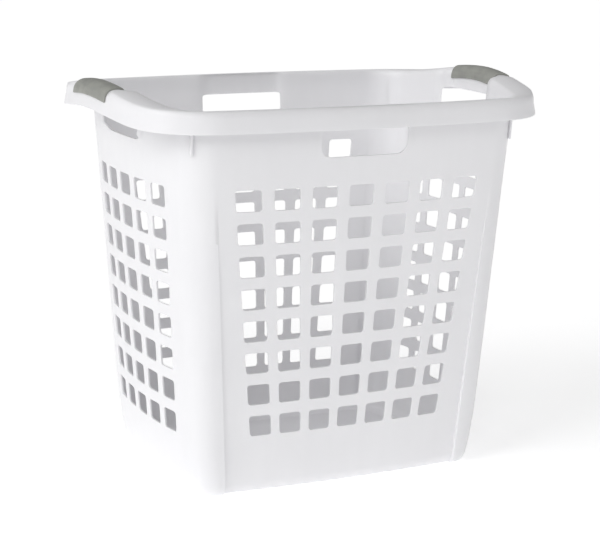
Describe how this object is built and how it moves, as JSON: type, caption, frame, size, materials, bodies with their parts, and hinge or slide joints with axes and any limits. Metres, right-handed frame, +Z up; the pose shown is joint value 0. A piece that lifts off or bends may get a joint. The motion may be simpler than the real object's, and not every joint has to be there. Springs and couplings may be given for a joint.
{
  "type": "laundry hamper",
  "caption": "Open tapered laundry hamper in moulded plastic, with slotted walls, a hooked rim, a hand hole in every side and a soft grey grip over each end handle.",
  "frame": {"origin": "middle of the foot, on the surface that the hamper stands on", "axes": "+X along the long side towards the right grip, +Y from the front panel to the back panel, +Z up"},
  "size_m": [0.5962, 0.4128, 0.5182],
  "materials": {
    "basket_plastic": "satin moulded polypropylene, white",
    "grip_soft": "soft matte overmould, mid grey"
  },
  "bodies": {
    "root": {"basket": "basket_plastic", "grip_left": "grip_soft", "grip_right": "grip_soft"}
  },
  "joints": []
}
